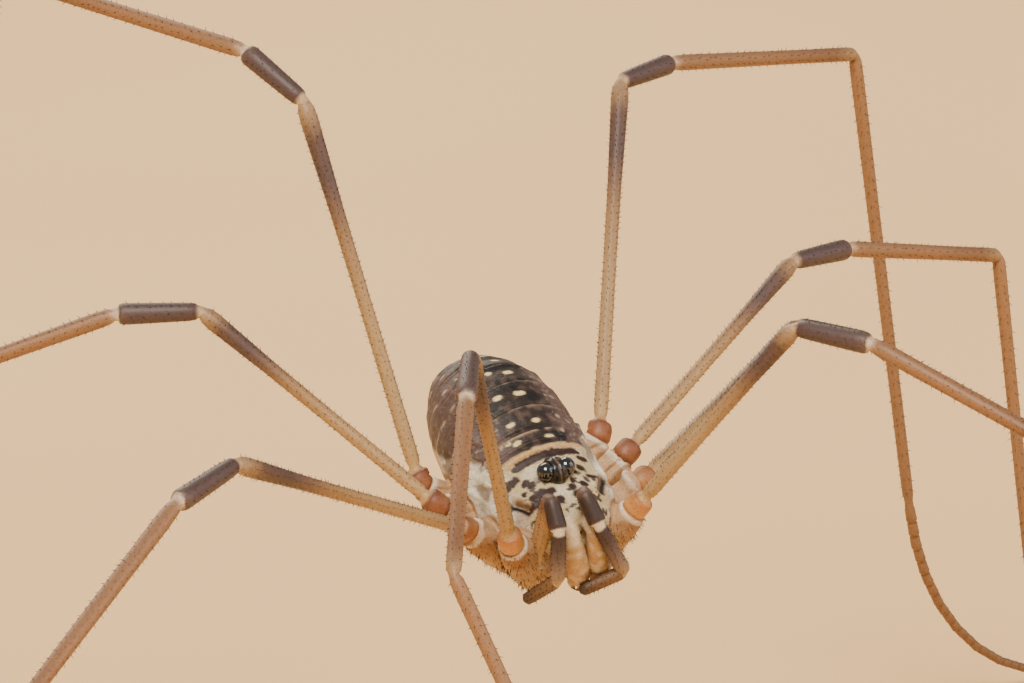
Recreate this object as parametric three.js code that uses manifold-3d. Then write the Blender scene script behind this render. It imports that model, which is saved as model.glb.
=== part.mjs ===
// A long-legged harvestman, life size, standing still on its eight legs.
// Millimetres, +Z up. The face looks along -Y, the animal's left side is +X.
// The origin is on the floor, under the middle of the whole animal.

import * as THREE from "three";
import { mergeVertices } from "three/addons/utils/BufferGeometryUtils.js";
import Module from "manifold-3d";

const wasm = await Module();
wasm.setup();

// Driving dimensions

const GAP = 0.12;                 // clear space between neighbouring pieces
const FLOOR_BELOW_BODY = 11.8;    // from the middle of the body down to the floor
const BODY_PITCH = 16;            // degrees, head down
const BODY_ROLL = 7;              // degrees, left side up
const BODY_SIDES = 24;            // facets round the trunk
const LIMB_SIDES = 8;             // facets round every limb
const JOINT_SIDES = 8;            // and round every rounded joint of the jaws and feelers
const COXA_SIDES = 10;
const TROCHANTER_SIDES = 12;
const EYE_SIDES = 14;
const TURRET_SIDES = 18;
const BALL_FLATNESS = 0.7;        // rings from pole to pole for each facet round a ball
const WELD_DISTANCE = 1e-4;

// The trunk from the front edge of the head shield to the tail.
// x runs forwards, width is half the breadth, top and bottom are heights.
const TRUNK = [
  { x: 1.84, width: 0.62, top: 0.22, bottom: -0.6 },
  { x: 1.6, width: 1.05, top: 0.46, bottom: -1.05 },
  { x: 1.1, width: 1.42, top: 0.72, bottom: -1.42 },
  { x: 0.4, width: 1.64, top: 0.98, bottom: -1.66 },
  { x: -0.3, width: 1.7, top: 1.26, bottom: -1.74 },
  { x: -1.0, width: 1.7, top: 1.6, bottom: -1.72 },
  { x: -1.8, width: 1.66, top: 1.86, bottom: -1.6 },
  { x: -2.6, width: 1.52, top: 1.88, bottom: -1.36 },
  { x: -3.4, width: 1.24, top: 1.6, bottom: -1.02 },
  { x: -4.1, width: 0.82, top: 1.08, bottom: -0.5 },
  { x: -4.5, width: 0.48, top: 0.68, bottom: -0.08 },
  { x: -4.7, width: 0.22, top: 0.42, bottom: 0.14 },
];
const WAIST_FRONT = 0.1;          // height of the widest level at the head
const WAIST_REAR = 0.4;           // and at the tail
const FRONT_CUT = -0.78;          // where the head shield ends and the abdomen starts
const TERGITE_EDGES = [0.22, -0.25, -1.52, -2.15, -2.72, -3.25, -3.72, -4.15];
const GROOVE_DEPTH = 0.05;
const GROOVE_HALF_WIDTH = 0.09;
const GROOVE_FADE = 2;            // how soon a groove reaches full depth above the waist
const NARROWEST_GROOVED = 0.3;
const WAIST_BELOW_TOP = 0.1;
const CLOSEST_STATIONS = 0.07;
const AHEAD_OF_TRUNK = 3;
const BEHIND_TRUNK = -6;
const SLAB_REACH = 8;

// Leg pairs from the front. The hip places are measured on the trunk,
// the lengths along each leg.
const PAIRS = [
  { hip: [1.6, 1.62, 0.0], coxaRoot: [1.0, 0.62, -1.5], coxaRadius: 0.43,
    femur: 6.1, patella: 1.9, tibia: 5.3, metatarsus: 8.5, tarsus: 14.0 },
  { hip: [0.69, 2.3, 0.0], coxaRoot: [0.35, 0.5, -1.62], coxaRadius: 0.45,
    femur: 9.7, patella: 2.3, tibia: 9.2, metatarsus: 10.5, tarsus: 17.0 },
  { hip: [-0.42, 2.45, 0.0], coxaRoot: [-0.3, 0.5, -1.65], coxaRadius: 0.45,
    femur: 6.95, patella: 1.95, tibia: 5.7, metatarsus: 8.5, tarsus: 12.0 },
  { hip: [-1.5, 2.34, -0.1], coxaRoot: [-0.85, 0.7, -1.55], coxaRadius: 0.43,
    femur: 9.15, patella: 1.9, tibia: 7.3, metatarsus: 12.5, tarsus: 17.5 },
];
const LEG_NUMBERS = ["1", "2", "3", "4"];

// The pose of each leg in degrees: azimuth from straight ahead to its own side,
// the rise of each length above level, the turn of the shank and of the foot.
const POSE = {
  right_1: {
    azimuth: 45.6, femur: 59.8, patella: -15.6, tibia: -27.6,
    metatarsus: -60, turn: -13.6, heel: -60, sweep: -15,
  },
  right_2: {
    azimuth: 62.2, femur: 23.2, patella: -6.8, tibia: -26.2,
    metatarsus: -45, turn: -1.9, heel: 0, sweep: 25,
  },
  right_3: {
    azimuth: 128.6, femur: 38.6, patella: -1.1, tibia: -19.4,
    metatarsus: -80, turn: -12.6, heel: 0, sweep: 25,
  },
  right_4: {
    azimuth: 158.8, femur: 67.8, patella: 30.1, tibia: 7.1,
    metatarsus: -84, turn: -5.9, heel: 0, sweep: -25,
  },
  left_1: {
    azimuth: 36, femur: 50.7, patella: -4.4, tibia: -21.5,
    metatarsus: -80, turn: -2.2, heel: 0, sweep: 20,
  },
  left_2: {
    azimuth: 127.5, femur: 6.9, patella: -19.7, tibia: -31.2,
    metatarsus: -36, turn: -32.3, heel: 0, sweep: 18,
  },
  left_3: {
    azimuth: 110.2, femur: 28.5, patella: -2.3, tibia: -12.7,
    metatarsus: -80, turn: -3.2, heel: 0, sweep: 25,
  },
  left_4: {
    azimuth: 145.7, femur: 49.3, patella: 3, tibia: -8.8,
    metatarsus: -78, turn: -34.9, heel: 1, sweep: -20,
  },
};

// A coxa starts a little inside the trunk and swells to its middle.
const COXA_SUNK = 0.3;
const COXA_STATIONS = [0, 0.12, 0.4, 0.75, 0.94, 1];
const COXA_SWELL = [0.6, 0.9, 1, 0.98, 0.86, 0.72];
const TROCHANTER_RADIUS = 0.31;
const FEMUR_RADII = [0.2, 0.235, 0.255, 0.27, 0.25];
const PATELLA_RADII = [0.22, 0.265, 0.285, 0.3, 0.25];
const TIBIA_RADII = [0.22, 0.26, 0.25, 0.235, 0.2];
const METATARSUS_RADII = [0.19, 0.225, 0.215, 0.205, 0.18];
const LIMB_STATIONS = [0, 0.02, 0.5, 0.97, 1];
const TARSUS_BASE_RADIUS = 0.2;
const TARSUS_TIP_RADIUS = 0.1;
const TARSUS_STEPS = 16;
const TARSUS_END_SHARE = 0.8;     // of the radius, at both ends of the foot

// Eyes on their turret
const TURRET_PLACE = [0.62, 0, 0.86];
const TURRET_RADII = [0.4, 0.44, 0.4];      // side, fore-aft, height
const EYE_RADIUS = 0.21;
const EYE_OFFSET = [0.06, 0.285, 0.1];      // from the turret's centre
const EYE_GAP = 0.05;

// Jaws and feelers, as joints from root to tip and a radius at each joint
const JAWS = {
  left: {
    joints: [[1.62, 0.36, -0.1], [2.05, 0.24, 0.3], [2.1, 0.34, -0.6], [2.0, 0.52, -1.3], [1.82, 0.6, -1.74]],
    radii: [0.22, 0.23, 0.23, 0.24, 0.12],
  },
  right: {
    joints: [[1.62, -0.36, 0.0], [2.05, -0.36, 0.42], [2.1, -0.24, -0.5], [2.0, -0.1, -1.2], [1.82, -0.04, -1.62]],
    radii: [0.22, 0.23, 0.23, 0.24, 0.12],
  },
};
const PALP_UPPER = {
  left: { joints: [[1.45, 0.77, -0.7], [1.85, 0.04, 1.11], [2.4, 0.18, 0.56]], radii: [0.25, 0.25, 0.24] },
  right: { joints: [[1.5, -0.87, -0.68], [1.88, -0.8, 1.22], [2.42, -0.84, 0.72]], radii: [0.25, 0.25, 0.24] },
};
const PALP_LOWER = {
  left: { joints: [[2.48, 0.3, 0.22], [2.6, 0.79, -0.9], [2.35, -0.28, -1.32]], radii: [0.23, 0.23, 0.2] },
  right: { joints: [[2.46, -0.85, 0.36], [2.5, -0.88, -0.71], [2.05, -1.47, -1.4]], radii: [0.23, 0.23, 0.2] },
};

// Colours of the pieces
const CREAM = 0xcdbb94;
const UMBER = 0x4a3a30;
const BLACK = 0x12100f;
const STRAW = 0xc9a468;
const ORANGE = 0xb9683a;
const PURPLE_BROWN = 0x4d3a38;
const TAN = 0x9b7a55;

// Small geometry helpers

const radians = THREE.MathUtils.degToRad;
const lerp = THREE.MathUtils.lerp;

function withoutSlivers(geometry) {
  // Merged vertices leave flat triangles at the poles, which are dropped here.
  const plain = geometry.clone();
  plain.deleteAttribute("normal");
  plain.deleteAttribute("uv");
  const merged = mergeVertices(plain, WELD_DISTANCE);
  const kept = [];
  const index = merged.index.array;
  for (let i = 0; i < index.length; i += 3) {
    const [a, b, c] = [index[i], index[i + 1], index[i + 2]];
    if (a !== b && b !== c && c !== a) kept.push(a, b, c);
  }
  merged.setIndex(kept);
  return merged;
}

function toSolid(geometry) {
  const clean = withoutSlivers(geometry);
  const mesh = new wasm.Mesh({
    numProp: 3,
    vertProperties: new Float32Array(clean.attributes.position.array),
    triVerts: new Uint32Array(clean.index.array),
  });
  return new wasm.Manifold(mesh);
}

function largestBody(solid) {
  return solid.decompose().reduce((best, part) => (part.volume() > best.volume() ? part : best));
}

function toGeometry(solid) {
  const mesh = solid.getMesh();
  const geometry = new THREE.BufferGeometry();
  geometry.setAttribute("position", new THREE.BufferAttribute(new Float32Array(mesh.vertProperties), 3));
  geometry.setIndex(new THREE.BufferAttribute(new Uint32Array(mesh.triVerts), 1));
  return geometry;
}

// A closed skin over rings of points, each ring with as many points,
// with a fan from the middle of the first and the last ring.
function skinOver(rings) {
  const sides = rings[0].length;
  const points = rings.flat();
  const faces = [];
  for (let r = 0; r + 1 < rings.length; r += 1) {
    for (let s = 0; s < sides; s += 1) {
      const a = r * sides + s;
      const b = r * sides + ((s + 1) % sides);
      faces.push(a, b, b + sides, a, b + sides, a + sides);
    }
  }
  const middle = (ring) => ring.reduce((sum, p) => sum.add(p), new THREE.Vector3()).divideScalar(sides);
  const first = points.push(middle(rings[0])) - 1;
  const last = points.push(middle(rings.at(-1))) - 1;
  const lastRing = (rings.length - 1) * sides;
  for (let s = 0; s < sides; s += 1) {
    const next = (s + 1) % sides;
    faces.push(first, next, s);
    faces.push(last, lastRing + s, lastRing + next);
  }
  const geometry = new THREE.BufferGeometry().setFromPoints(points);
  geometry.setIndex(faces);
  return geometry;
}

// A tube through points, with a radius at each and one facet facing the floor.
function tapered(points, radii, sides = LIMB_SIDES) {
  const rings = points.map((point, i) => {
    const before = points[Math.max(i - 1, 0)];
    const after = points[Math.min(i + 1, points.length - 1)];
    const along = after.clone().sub(before).normalize();
    const side = new THREE.Vector3(0, 0, 1).cross(along).normalize();
    const up = along.clone().cross(side);
    const ring = [];
    for (let s = 0; s < sides; s += 1) {
      const angle = ((s + 0.5) / sides) * 2 * Math.PI;
      ring.push(point.clone()
        .addScaledVector(side, radii[i] * Math.cos(angle))
        .addScaledVector(up, radii[i] * Math.sin(angle)));
    }
    return ring;
  });
  return skinOver(rings);
}

function straightLimb(from, to, radii) {
  const points = LIMB_STATIONS.map((t) => from.clone().lerp(to, t));
  return tapered(points, radii);
}

function ball(centre, radii, sides) {
  const geometry = new THREE.SphereGeometry(1, sides, Math.round(sides * BALL_FLATNESS));
  geometry.rotateX(Math.PI / 2);
  geometry.scale(...radii);
  geometry.translate(centre.x, centre.y, centre.z);
  return geometry;
}

// Places on the body

const bodyTurn = new THREE.Matrix4().makeRotationX(radians(BODY_PITCH))
  .multiply(new THREE.Matrix4().makeRotationY(radians(-BODY_ROLL)));
const toBody = new THREE.Matrix4().makeTranslation(0, 0, FLOOR_BELOW_BODY).multiply(bodyTurn);

// A place on the trunk, from forwards, to the left and up.
function onBody([forwards, left, up]) {
  return new THREE.Vector3(left, -forwards, up).applyMatrix4(toBody);
}

function mirrored([forwards, left, up], side) {
  return [forwards, side === "left" ? left : -left, up];
}

// A direction from an azimuth to the leg's own side and a rise above level.
function heading(side, azimuth, rise) {
  const sign = side === "left" ? 1 : -1;
  return new THREE.Vector3(
    sign * Math.sin(radians(azimuth)) * Math.cos(radians(rise)),
    -Math.cos(radians(azimuth)) * Math.cos(radians(rise)),
    Math.sin(radians(rise)),
  );
}

// Trunk

// A smooth curve through one size of the trunk stations.
function trunkSize(x, key) {
  const spans = TRUNK.length - 1;
  let i = 0;
  while (i < spans - 1 && x < TRUNK[i + 1].x) i += 1;
  const slope = (k) => {
    const a = TRUNK[Math.max(k - 1, 0)];
    const b = TRUNK[Math.min(k + 1, spans)];
    return (b[key] - a[key]) / (b.x - a.x);
  };
  const [p, q] = [TRUNK[i], TRUNK[i + 1]];
  const run = q.x - p.x;
  const t = THREE.MathUtils.clamp((x - p.x) / run, 0, 1);
  const t2 = t * t;
  const t3 = t2 * t;
  return (2 * t3 - 3 * t2 + 1) * p[key] + (t3 - 2 * t2 + t) * run * slope(i)
    + (3 * t2 - 2 * t3) * q[key] + (t3 - t2) * run * slope(i + 1);
}

function trunkRing(x) {
  const width = trunkSize(x, "width");
  const top = trunkSize(x, "top");
  const bottom = trunkSize(x, "bottom");
  const rearness = THREE.MathUtils.clamp((TRUNK[0].x - x) / (TRUNK[0].x - TRUNK.at(-1).x), 0, 1);
  const waist = Math.min(lerp(WAIST_FRONT, WAIST_REAR, rearness), top - WAIST_BELOW_TOP);
  const groove = TERGITE_EDGES.reduce((sum, edge) => {
    const away = Math.abs(x - edge) / GROOVE_HALF_WIDTH;
    return sum + Math.max(0, 1 - away);
  }, 0) * GROOVE_DEPTH;
  const ring = [];
  for (let s = 0; s < BODY_SIDES; s += 1) {
    const angle = (-s / BODY_SIDES) * 2 * Math.PI;
    const rise = Math.sin(angle);
    const height = rise > 0 ? top - waist : waist - bottom;
    const inset = rise > 0 ? groove * Math.min(1, rise * GROOVE_FADE) : 0;
    const scale = 1 - inset / Math.max(width, NARROWEST_GROOVED);
    ring.push(new THREE.Vector3(width * Math.cos(angle) * scale, -x, waist + height * rise * scale));
  }
  return ring;
}

function trunkStations() {
  const places = TRUNK.map((station) => station.x);
  for (const edge of TERGITE_EDGES) {
    places.push(edge - GROOVE_HALF_WIDTH, edge, edge + GROOVE_HALF_WIDTH);
  }
  places.sort((a, b) => b - a);
  return places.filter((x, i) => i === 0 || places[i - 1] - x > CLOSEST_STATIONS);
}

const trunk = toSolid(skinOver(trunkStations().map(trunkRing)).applyMatrix4(toBody));

function slab(fromX, toX) {
  const geometry = new THREE.BoxGeometry(SLAB_REACH, Math.abs(toX - fromX), SLAB_REACH);
  geometry.translate(0, -(fromX + toX) / 2, 0);
  geometry.applyMatrix4(toBody);
  return toSolid(geometry);
}

// Legs

const legs = [];
for (const side of ["right", "left"]) {
  PAIRS.forEach((pair, i) => {
    const pose = POSE[`${side}_${LEG_NUMBERS[i]}`];
    const hip = onBody(mirrored(pair.hip, side));
    const coxaRoot = onBody(mirrored(pair.coxaRoot, side));
    const shankAzimuth = pose.azimuth + pose.turn;
    const knee = hip.clone().addScaledVector(heading(side, pose.azimuth, pose.femur), pair.femur);
    const kneeBend = heading(side, shankAzimuth, pose.patella);
    const kneeEnd = knee.clone().addScaledVector(kneeBend, pair.patella);
    const shank = heading(side, shankAzimuth, pose.tibia);
    const ankle = kneeEnd.clone().addScaledVector(shank, pair.tibia);
    const footAzimuth = shankAzimuth + pose.heel;
    const shin = heading(side, footAzimuth, pose.metatarsus);
    const footStart = ankle.clone().addScaledVector(shin, pair.metatarsus);
    legs.push({
      name: `${side}_${LEG_NUMBERS[i]}`,
      side, pair, pose, hip, coxaRoot, knee, kneeEnd, ankle, footAzimuth, footStart,
    });
  });
}

function coxaSolid(leg, extra) {
  const along = leg.hip.clone().sub(leg.coxaRoot).normalize();
  const end = leg.hip.clone().addScaledVector(along, -(TROCHANTER_RADIUS + GAP) + extra);
  const start = leg.coxaRoot.clone().addScaledVector(along, -COXA_SUNK - extra);
  const radii = COXA_SWELL.map((share) => leg.pair.coxaRadius * share + extra);
  const points = COXA_STATIONS.map((t) => start.clone().lerp(end, t));
  return toSolid(tapered(points, radii, COXA_SIDES));
}

function trochanterBall(leg, extra) {
  const size = TROCHANTER_RADIUS + extra;
  return ball(leg.hip, [size, size, size], TROCHANTER_SIDES);
}

// A limb length between two joints, short of each by half the gap.
function limbLength(from, to, radii, startGap = GAP / 2, endGap = GAP / 2) {
  const along = to.clone().sub(from).normalize();
  const start = from.clone().addScaledVector(along, startGap);
  const end = to.clone().addScaledVector(along, -endGap);
  return straightLimb(start, end, radii);
}

// The foot bends from the shin's slope to level in one arc,
// then lies along the floor on its lowest facet.
function tarsusGeometry(leg) {
  const apothem = Math.cos(Math.PI / LIMB_SIDES);
  const slope = -radians(leg.pose.metatarsus);
  const drop = leg.footStart.z - TARSUS_BASE_RADIUS * apothem;
  const arc = (drop * slope) / (1 - Math.cos(slope));
  const points = [];
  const radii = [];
  const shin = heading(leg.side, leg.footAzimuth, leg.pose.metatarsus);
  const point = leg.footStart.clone().addScaledVector(shin, GAP);
  const stepLength = (leg.pair.tarsus - GAP) / TARSUS_STEPS;
  for (let i = 0; i <= TARSUS_STEPS; i += 1) {
    const t = i / TARSUS_STEPS;
    const radius = lerp(TARSUS_BASE_RADIUS, TARSUS_TIP_RADIUS, t);
    const lying = i * stepLength >= arc;
    if (lying) point.z = radius * apothem;
    points.push(point.clone());
    radii.push(i === 0 || i === TARSUS_STEPS ? radius * TARSUS_END_SHARE : radius);
    const middle = (i + 0.5) * stepLength;
    const bend = middle < arc ? THREE.MathUtils.radToDeg(slope) * (1 - middle / arc) : 0;
    point.addScaledVector(heading(leg.side, leg.footAzimuth + leg.pose.sweep * t, -bend), stepLength);
  }
  // The tip keeps its facet on the floor though its end is narrower.
  points.at(-1).z = radii.at(-1) * apothem;
  return tapered(points, radii);
}

// The animal

const model = new THREE.Group();
model.name = "harvestman";

function addPiece(name, geometry, colour, roughness = 0.6) {
  const plain = withoutSlivers(geometry);
  plain.computeVertexNormals();
  const material = new THREE.MeshStandardMaterial({ color: colour, roughness, metalness: 0, flatShading: true });
  const mesh = new THREE.Mesh(plain, material);
  mesh.name = name;
  model.add(mesh);
}

// The eye turret and the eyes
const turretPlace = onBody(TURRET_PLACE);
const turretTurn = bodyTurn.clone().setPosition(turretPlace);
const turretBall = (extra) => toSolid(
  ball(new THREE.Vector3(), TURRET_RADII.map((radius) => radius + extra), TURRET_SIDES).applyMatrix4(turretTurn),
);
const eyeBall = (side, extra) => {
  const [forwards, left, up] = mirrored(EYE_OFFSET, side);
  const centre = new THREE.Vector3(left, -forwards, up).applyMatrix4(turretTurn);
  const radius = EYE_RADIUS + extra;
  return ball(centre, [radius, radius, radius], EYE_SIDES);
};
let turret = turretBall(0);
for (const side of ["right", "left"]) {
  turret = turret.subtract(toSolid(eyeBall(side, EYE_GAP)));
  addPiece(`eye_${side}`, eyeBall(side, 0), BLACK, 0.08);
}
addPiece("ocularium", toGeometry(largestBody(turret)), UMBER, 0.35);

// The jaws and feelers, each one chain of overlapping lengths
function chainSolid({ joints, radii }, extra) {
  const places = joints.map(onBody);
  let whole = null;
  for (let i = 0; i + 1 < places.length; i += 1) {
    const points = [0, 0.5, 1].map((t) => places[i].clone().lerp(places[i + 1], t));
    const widths = [0, 0.5, 1].map((t) => lerp(radii[i], radii[i + 1], t) + extra);
    const length = toSolid(tapered(points, widths));
    const cap = toSolid(ball(places[i], Array(3).fill(radii[i] + extra), JOINT_SIDES));
    whole = whole ? whole.add(length).add(cap) : length.add(cap);
  }
  return whole.add(toSolid(ball(places.at(-1), Array(3).fill(radii.at(-1) + extra), JOINT_SIDES)));
}

// The head shield with the eight coxae
let prosoma = trunk.intersect(slab(AHEAD_OF_TRUNK, FRONT_CUT + GAP / 2));
for (const leg of legs) prosoma = prosoma.add(coxaSolid(leg, 0));
const abdomenAndGap = trunk.intersect(slab(FRONT_CUT + GAP / 2, BEHIND_TRUNK));
prosoma = prosoma.subtract(turretBall(GAP));
for (const leg of legs) prosoma = prosoma.subtract(toSolid(trochanterBall(leg, GAP)));
for (const side of ["right", "left"]) {
  prosoma = prosoma.subtract(chainSolid(JAWS[side], GAP)).subtract(chainSolid(PALP_UPPER[side], GAP));
}
addPiece("prosoma", toGeometry(largestBody(prosoma)), CREAM);

// The abdomen, cut clear of the coxae and hips that reach back beside it
let opisthosoma = abdomenAndGap.intersect(slab(FRONT_CUT - GAP / 2, BEHIND_TRUNK));
for (const leg of legs) {
  opisthosoma = opisthosoma.subtract(coxaSolid(leg, GAP)).subtract(toSolid(trochanterBall(leg, GAP)));
}
addPiece("opisthosoma", toGeometry(largestBody(opisthosoma)), UMBER);

// Jaws and feelers
for (const side of ["right", "left"]) {
  const upper = chainSolid(PALP_UPPER[side], 0);
  const lower = chainSolid(PALP_LOWER[side], 0).subtract(chainSolid(PALP_UPPER[side], GAP));
  let jaw = chainSolid(JAWS[side], 0);
  if (side === "left") jaw = jaw.subtract(chainSolid(JAWS.right, GAP));
  for (const other of ["right", "left"]) {
    jaw = jaw.subtract(chainSolid(PALP_UPPER[other], GAP)).subtract(chainSolid(PALP_LOWER[other], GAP));
  }
  addPiece(`chelicera_${side}`, toGeometry(largestBody(jaw)), STRAW, 0.5);
  addPiece(`pedipalp_upper_${side}`, toGeometry(largestBody(upper)), PURPLE_BROWN, 0.5);
  addPiece(`pedipalp_lower_${side}`, toGeometry(largestBody(lower)), PURPLE_BROWN, 0.5);
}

// The legs, from the hip to the toe
for (const leg of legs) {
  addPiece(`trochanter_${leg.name}`, trochanterBall(leg, 0), ORANGE, 0.45);
  addPiece(`femur_${leg.name}`, limbLength(leg.hip, leg.knee, FEMUR_RADII, TROCHANTER_RADIUS + GAP), STRAW, 0.5);
  addPiece(`patella_${leg.name}`, limbLength(leg.knee, leg.kneeEnd, PATELLA_RADII), PURPLE_BROWN, 0.5);
  addPiece(`tibia_${leg.name}`, limbLength(leg.kneeEnd, leg.ankle, TIBIA_RADII), TAN, 0.5);
  addPiece(`metatarsus_${leg.name}`, limbLength(leg.ankle, leg.footStart, METATARSUS_RADII), TAN, 0.55);
  addPiece(`tarsus_${leg.name}`, tarsusGeometry(leg), STRAW, 0.6);
}

// The whole animal stands over the origin
const box = new THREE.Box3().setFromObject(model);
const centre = box.getCenter(new THREE.Vector3());
model.children.forEach((mesh) => mesh.geometry.translate(-centre.x, -centre.y, -box.min.z));

export default model;
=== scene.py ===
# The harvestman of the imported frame, dressed in its cuticle, bristles and eyes.

import math
import random

import bmesh
import bpy
import numpy as np
from mathutils import Matrix, Vector, noise


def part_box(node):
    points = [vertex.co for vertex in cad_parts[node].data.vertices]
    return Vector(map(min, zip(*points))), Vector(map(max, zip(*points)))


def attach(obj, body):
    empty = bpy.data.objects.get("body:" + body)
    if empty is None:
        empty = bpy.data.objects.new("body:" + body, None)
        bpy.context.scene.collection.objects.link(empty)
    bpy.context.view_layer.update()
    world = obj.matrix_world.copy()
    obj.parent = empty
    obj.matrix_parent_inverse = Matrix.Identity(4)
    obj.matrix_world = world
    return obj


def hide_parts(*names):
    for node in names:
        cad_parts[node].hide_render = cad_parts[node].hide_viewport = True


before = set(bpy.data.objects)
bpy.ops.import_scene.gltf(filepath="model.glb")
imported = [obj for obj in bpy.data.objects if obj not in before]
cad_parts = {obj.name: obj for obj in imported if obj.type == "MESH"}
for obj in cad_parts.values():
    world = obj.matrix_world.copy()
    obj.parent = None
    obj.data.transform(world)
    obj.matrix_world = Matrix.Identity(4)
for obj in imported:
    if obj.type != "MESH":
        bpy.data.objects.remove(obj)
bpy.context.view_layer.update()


# Camera
# A long macro lens in front of the animal, a little to its right and above.
# It is aimed so that the eye turret falls on its place in the photograph.
IMAGE_SIZE = (1024, 683)
EYE_PIXEL = (556, 469)
PIXELS_PER_MM = 44.0
CAMERA_AWAY = 0.160
CAMERA_AZIMUTH = -29.0
CAMERA_ELEVATION = 16.0
SENSOR_WIDTH = 36.0
CLIP_RANGE = (0.005, 20.0)
MM = 0.001


def cad_centre(node):
    """The middle of a CAD piece, in millimetres."""
    low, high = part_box(node)
    return (low + high) / 2 / MM


def camera_axes():
    """Unit vectors towards the camera, to its right and up."""
    turn = math.radians(CAMERA_AZIMUTH)
    rise = math.radians(CAMERA_ELEVATION)
    back = Vector((math.sin(turn) * math.cos(rise), -math.cos(turn) * math.cos(rise), math.sin(rise)))
    right = Vector((math.cos(turn), math.sin(turn), 0.0))
    return back, right, back.cross(right)


def add_camera():
    back, right, up = camera_axes()
    eyes = (cad_centre("eye_right") + cad_centre("eye_left")) / 2
    aside = (EYE_PIXEL[0] - IMAGE_SIZE[0] / 2) / PIXELS_PER_MM
    above = (IMAGE_SIZE[1] / 2 - EYE_PIXEL[1]) / PIXELS_PER_MM
    target = (eyes - right * aside - up * above) * MM
    camera = bpy.data.objects.new("camera", bpy.data.cameras.new("camera"))
    camera.data.sensor_width = SENSOR_WIDTH
    camera.data.lens = SENSOR_WIDTH * PIXELS_PER_MM * CAMERA_AWAY / MM / IMAGE_SIZE[0]
    camera.data.clip_start, camera.data.clip_end = CLIP_RANGE
    camera.location = target + back * CAMERA_AWAY
    camera.rotation_mode = "QUATERNION"
    camera.rotation_quaternion = (-back).to_track_quat("-Z", "Y")
    bpy.context.collection.objects.link(camera)
    bpy.context.scene.camera = camera


add_camera()


# Floor
# A broad sheet of pale warm paper under the animal, matt, with a faint
# mottling from its fibres. It is the stage and no part of the animal.
FLOOR_COLOUR = 0xEBC48E
FLOOR_SHADE = 0xE4B97F
FLOOR_HALF = 3.0


def linear(hex_colour, alpha=1.0):
    """An sRGB hex colour as the linear values that shaders take."""
    channels = [((hex_colour >> shift) & 255) / 255 for shift in (16, 8, 0)]
    return [c / 12.92 if c <= 0.04045 else ((c + 0.055) / 1.055) ** 2.4 for c in channels] + [alpha]


def set_stops(elements, stops):
    """Gives a colour ramp its stops, places with sRGB hex colours."""
    while len(elements) < len(stops):
        elements.new(0.5)
    for element, (place, colour) in zip(elements, stops):
        element.position = place
        element.color = linear(colour)


def node(tree, kind, settings=None, links=None):
    """Adds one shader node: settings by property or socket, links by socket."""
    made = tree.nodes.new(kind)
    for key, value in (settings or {}).items():
        if key == "stops":
            set_stops(made.color_ramp.elements, value)
        elif isinstance(key, str) and hasattr(made, key):
            setattr(made, key, value)
        else:
            made.inputs[key].default_value = value
    for key, source in (links or {}).items():
        tree.links.new(source, made.inputs[key])
    return made


def new_material(name):
    """An empty material and the tree that its shader goes in."""
    material = bpy.data.materials.new(name)
    material.use_nodes = True
    material.node_tree.nodes.clear()
    return material, material.node_tree


def finish_material(tree, settings, links):
    """The shader and its output."""
    shader = node(tree, "ShaderNodeBsdfPrincipled", settings, links)
    node(tree, "ShaderNodeOutputMaterial", None, {"Surface": shader.outputs["BSDF"]})


def paper_material():
    # Uncoated paper: no gloss, a tone that drifts over some centimetres.
    material, tree = new_material("uncoated paper")
    place = node(tree, "ShaderNodeTexCoord").outputs["Object"]
    drift = node(tree, "ShaderNodeTexNoise", {"Scale": 14.0, "Detail": 2.0}, {"Vector": place})
    tone = node(tree, "ShaderNodeValToRGB", {"stops": [(0.35, FLOOR_SHADE), (0.65, FLOOR_COLOUR)]},
                {"Fac": drift.outputs["Fac"]})
    finish_material(tree, {"Roughness": 0.95, "Specular IOR Level": 0.1},
                    {"Base Color": tone.outputs["Color"]})
    return material


def new_piece(name, bm, material, scale=MM):
    """A mesh object of a bmesh in millimetres, with its place in its mesh."""
    bmesh.ops.scale(bm, vec=(scale,) * 3, verts=bm.verts)
    mesh = bpy.data.meshes.new(name)
    bm.to_mesh(mesh)
    bm.free()
    mesh.shade_smooth()
    mesh.materials.append(material)
    piece = bpy.data.objects.new(name, mesh)
    bpy.context.collection.objects.link(piece)
    return piece


def add_floor():
    bm = bmesh.new()
    bmesh.ops.create_grid(bm, x_segments=1, y_segments=1, size=FLOOR_HALF)
    new_piece("floor", bm, paper_material(), scale=1.0)


add_floor()


# Studio light
# One broad soft light overhead from the left, a weaker one from the right,
# one low behind for the rims, and a pale surround, as on a bright dull day.
LIGHTS = {
    "key": {"place": (-0.16, -0.20, 0.36), "size": 0.2, "watts": 3.1, "colour": 0xFFF4E6},
    "fill": {"place": (0.30, -0.24, 0.20), "size": 0.30, "watts": 0.7, "colour": 0xF2F4FF},
    "rim": {"place": (0.05, 0.36, 0.24), "size": 0.26, "watts": 1.5, "colour": 0xFFF1DE},
}
SURROUND_COLOUR = 0xF6F1EA
SURROUND_STRENGTH = 0.46
LIT_POINT = Vector((0.0, 0.0, 0.008))


def add_lights():
    for name, facts in LIGHTS.items():
        light = bpy.data.lights.new(name, "AREA")
        light.size = facts["size"]
        light.energy = facts["watts"]
        light.color = linear(facts["colour"])[:3]
        lamp = bpy.data.objects.new(name, light)
        lamp.location = facts["place"]
        lamp.rotation_euler = (LIT_POINT - lamp.location).to_track_quat("-Z", "Y").to_euler()
        bpy.context.collection.objects.link(lamp)
    world = bpy.data.worlds.new("surround")
    world.use_nodes = True
    backdrop = world.node_tree.nodes["Background"]
    backdrop.inputs["Color"].default_value = linear(SURROUND_COLOUR)
    backdrop.inputs["Strength"].default_value = SURROUND_STRENGTH
    bpy.context.scene.world = world


add_lights()


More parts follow.
